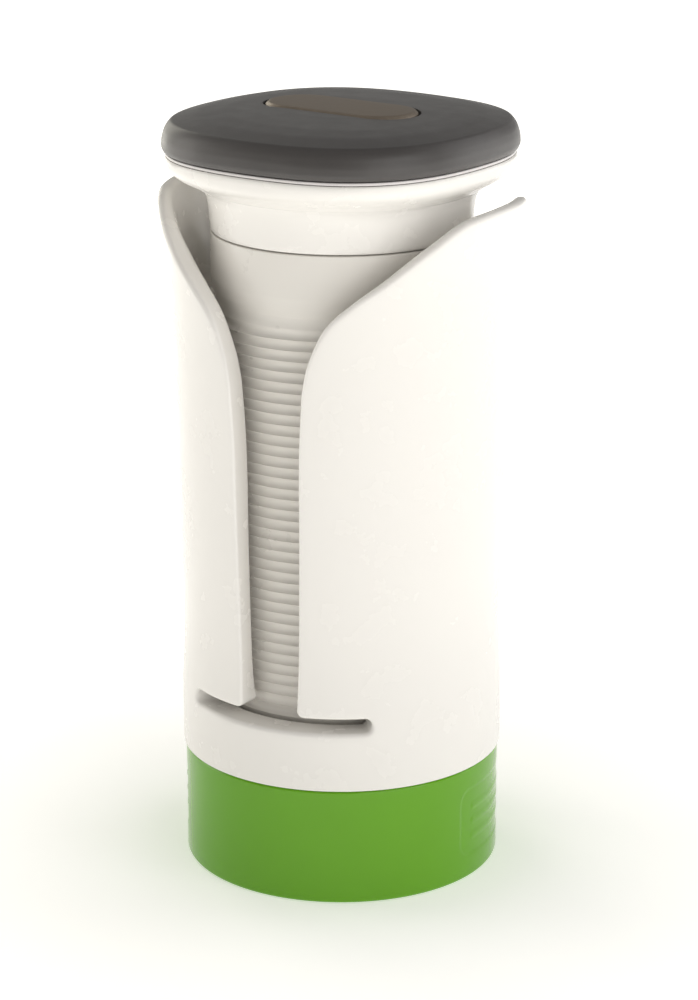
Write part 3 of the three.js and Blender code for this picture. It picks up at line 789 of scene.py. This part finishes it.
def grater():
    """Steel disc with rings of holes, each with a raised cutting lip on its trailing side."""
    low, high = low_of("grater_disc"), high_of("grater_disc")
    disc = turned("grater_plate", [(0, low), (27.4, low, 0.1), (27.4, high, 0.1),
                                   (0, high)], GRATER, segments=128)
    places = [(reach, 2 * math.pi * k / (6 * (ring + 1)))
              for ring, reach in enumerate((6, 11.5, 17, 22.5)) for k in range(6 * (ring + 1))]
    sides = 14
    verts, faces = [], []
    for reach, turn in places:
        x, y = reach * math.cos(turn), reach * math.sin(turn)
        start = len(verts)
        for z in (low - 1, high + 1):
            verts += [(x + 1.2 * math.cos(a), y + 1.2 * math.sin(a), z)
                      for a in np.linspace(0, 2 * math.pi, sides, endpoint=False)]
        faces += [(start + j, start + (j + 1) % sides, start + sides + (j + 1) % sides, start + sides + j)
                  for j in range(sides)]
        faces += [[start + j for j in range(sides)][::-1], [start + sides + j for j in range(sides)]]
    cut(disc, [mesh_object("holes", verts, faces, GRATER)])

    verts, faces = [], []
    around, up = 8, 4
    for reach, turn in places:
        start = len(verts)
        for r in (1.65, 1.4):
            for i in range(up + 1):
                rise = math.pi / 2 * i / up * 0.96
                for j in range(around + 1):
                    a = turn + math.pi * j / around
                    flat = r * math.cos(rise)
                    verts.append((reach * math.cos(turn) + flat * math.cos(a),
                                  reach * math.sin(turn) + flat * math.sin(a),
                                  high - 0.05 + 0.62 * r * math.sin(rise)))
        row, layer = around + 1, (up + 1) * (around + 1)
        for i in range(up):
            for j in range(around):
                a = start + i * row + j
                faces.append((a, a + 1, a + row + 1, a + row))
                faces.append((a + layer, a + layer + row, a + layer + row + 1, a + layer + 1))
        rim = [start + j for j in range(row)] + [start + i * row + around for i in range(1, up + 1)]
        rim += [start + up * row + j for j in range(around - 1, -1, -1)]
        rim += [start + i * row for i in range(up - 1, 0, -1)]
        for a, b in zip(rim, rim[1:] + rim[:1]):
            faces.append((a, a + layer, b + layer, b))
    return disc, mesh_object("grater_lips", verts, faces, GRATER)


for piece in grater():
    stands_for(piece, "body", "grater_steel", "grater_disc")

for side in ("right", "left"):
    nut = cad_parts[f"half_nut_{side}"]
    for holder in nut.material_slots:
        holder.material = SCREW_WHITE


# ---------------------------------------------------------------- base cap
PANEL_MIDDLE, PANEL_HALF = math.radians(10), (14.4, 7.5)      # angle from +X, half width and half height
PANEL_HEIGHT, PANEL_CORNER, PANEL_DEPTH = 12.5, 3.2, 0.13
PANEL_RIDGES = (9.2, 12.5, 15.8)


def capsule(x, y, half, radius):
    """Signed distance from a round-ended bar along x."""
    return np.hypot(np.maximum(np.abs(x) - half, 0), y) - radius


def panel_relief(angle, z):
    """How far the cap's side lies below its round outside: two shallow panels with low grip ridges."""
    relief = np.zeros_like(z)
    for middle in (PANEL_MIDDLE, PANEL_MIDDLE + math.pi):
        x = CAP_R * (np.mod(angle - middle + math.pi, 2 * math.pi) - math.pi)
        y = z - PANEL_HEIGHT
        qx = np.abs(x) - PANEL_HALF[0] + PANEL_CORNER
        qy = np.abs(y) - PANEL_HALF[1] + PANEL_CORNER
        beyond = np.hypot(np.maximum(qx, 0), np.maximum(qy, 0))
        edge = beyond + np.minimum(np.maximum(qx, qy), 0) - PANEL_CORNER
        here = PANEL_DEPTH * (1 - smoothstep(-0.35, 0.1, edge))
        for height in PANEL_RIDGES:
            bar = capsule(x, z - height, PANEL_HALF[0] - 4.5, 0.7)
            here = here - 0.24 * (1 - smoothstep(-0.5, 0.25, bar)) * (here > 0)
        relief = np.maximum(relief, here)
    return relief


def base_cap():
    wall = 2.2
    side_rows = [(CAP_R, z) for z in np.arange(4.4, 21, 0.32)]
    profile = [(0, 0), (27.5, 0, 0.2), (28, 0.45, 0.2), (29.2, 0.45, 0.2), (29.7, 0, 0.2), (CAP_R, 0, 0.9)]
    profile = rounded(profile + [(CAP_R, CAP_TOP), (0, CAP_TOP)], 6)[:-2]
    profile += side_rows
    profile += rounded([(CAP_R, 20), (CAP_R, CAP_TOP, 0.45), (CAP_R - wall, CAP_TOP, 0.4),
                        (CAP_R - wall, 2.2, 1.6),
                        (0, 2.2), (0, 0)], 6)[1:-1]
    panel_reach = (PANEL_HALF[0] + 1) / CAP_R
    fine = np.arange(-panel_reach, panel_reach, 0.32 / CAP_R)
    coarse = np.linspace(panel_reach, math.pi - panel_reach, 64)
    angles = np.sort(np.mod(np.concatenate([m + part for m in (PANEL_MIDDLE, PANEL_MIDDLE + math.pi)
                                            for part in (fine, coarse[:-1])]), 2 * math.pi))
    verts, faces, rings = [], [], []
    for r, z in profile:
        if r < 1e-6:
            rings.append([len(verts)] * len(angles))
            verts.append((0, 0, z))
            continue
        depth = panel_relief(angles, np.full(len(angles), z)) if r > CAP_R - 0.01 else np.zeros(len(angles))
        rings.append(list(range(len(verts), len(verts) + len(angles))))
        verts += [((r - d) * math.cos(a), (r - d) * math.sin(a), z) for a, d in zip(angles, depth)]
    for a, b in zip(rings, rings[1:]):
        for j in range(len(angles)):
            k = (j + 1) % len(angles)
            face = list(dict.fromkeys((a[j], a[k], b[k], b[j])))
            if len(face) > 2:
                faces.append(face)
    return mesh_object("green_cap", verts, faces, GREEN, 50)


stands_for(base_cap(), "cap", "green_cap", "base_cap")


# ---------------------------------------------------------------- camera, floor and light
def camera():
    data = bpy.data.cameras.new("camera")
    data.lens, data.sensor_width, data.sensor_fit = 113.04, 36, "AUTO"
    data.clip_end = 50
    obj = bpy.data.objects.new("camera", data)
    turn, away, height, pitch = math.radians(26.9), 0.6235, 0.2693, math.radians(17.187)
    obj.location = (away * math.sin(turn), -away * math.cos(turn), height)
    obj.rotation_euler = (math.pi / 2 - pitch, 0, turn - math.radians(0.14))
    bpy.context.scene.collection.objects.link(obj)
    bpy.context.scene.camera = obj


def floor():
    bpy.ops.mesh.primitive_plane_add(size=12)
    obj = bpy.context.object
    obj.name = "floor"
    paper = Nodes("paper", (0.9, 0.9, 0.9), 0.9, Specular_IOR_Level=0.1)
    tone = paper.mix(paper.noise(400, 2), (0.9, 0.9, 0.89), (0.91, 0.91, 0.9))
    paper.link(tone, paper.shader.inputs["Base Color"])
    # The paper glows though it is no lamp: pure white away from the object and dimmer close to it, a painted
    # shadow round the base; the glow also lights the object from below.
    distance = paper.add("ShaderNodeVectorMath", operation="LENGTH")
    paper.link(paper.place, distance.inputs[0])
    paper.set("Emission Color", (1, 0.985, 0.94, 1))
    glow_with_painted_shadow = paper.remap(distance.outputs["Value"], 0.04, 0.2, 0.42, 1.0)
    paper.link(glow_with_painted_shadow, paper.shader.inputs["Emission Strength"])
    obj.data.materials.append(paper.material)


def softbox(name, turn_deg, rise_deg, size, power, color=(1, 1, 1), away=0.9):
    """Area light aimed at the object's middle, placed by its angle from +X and its rise."""
    middle = Vector((0, 0, 0.08))
    turn, rise = math.radians(turn_deg), math.radians(rise_deg)
    offset = Vector((math.cos(rise) * math.cos(turn), math.cos(rise) * math.sin(turn), math.sin(rise))) * away
    data = bpy.data.lights.new(name, "AREA")
    data.shape, data.size, data.size_y = "RECTANGLE", *size
    data.energy, data.color = power, color
    obj = bpy.data.objects.new(name, data)
    obj.location = middle + offset
    obj.rotation_euler = (-offset).to_track_quat("-Z", "Y").to_euler()
    bpy.context.scene.collection.objects.link(obj)


def studio():
    bpy.context.scene.view_settings.view_transform = "Standard"
    world = bpy.data.worlds.new("studio")
    bpy.context.scene.world = world
    world.use_nodes = True
    background = world.node_tree.nodes["Background"]
    background.inputs["Color"].default_value = (1, 0.98, 0.95, 1)
    background.inputs["Strength"].default_value = 0.28
    softbox("front_right", -35, 14, (0.5, 0.8), 1.6, (1, 0.975, 0.95))
    softbox("right", -8, 14, (0.3, 0.8), 1.3)
    softbox("back_right", 45, 14, (0.5, 0.8), 1.3, (0.97, 0.98, 1))
    softbox("back_left", 150, 15, (0.4, 0.7), 1.6, (1, 0.97, 0.85))
    softbox("left", 190, 10, (0.4, 0.7), 1.9, (1, 0.96, 0.89))


camera()
floor()
studio()
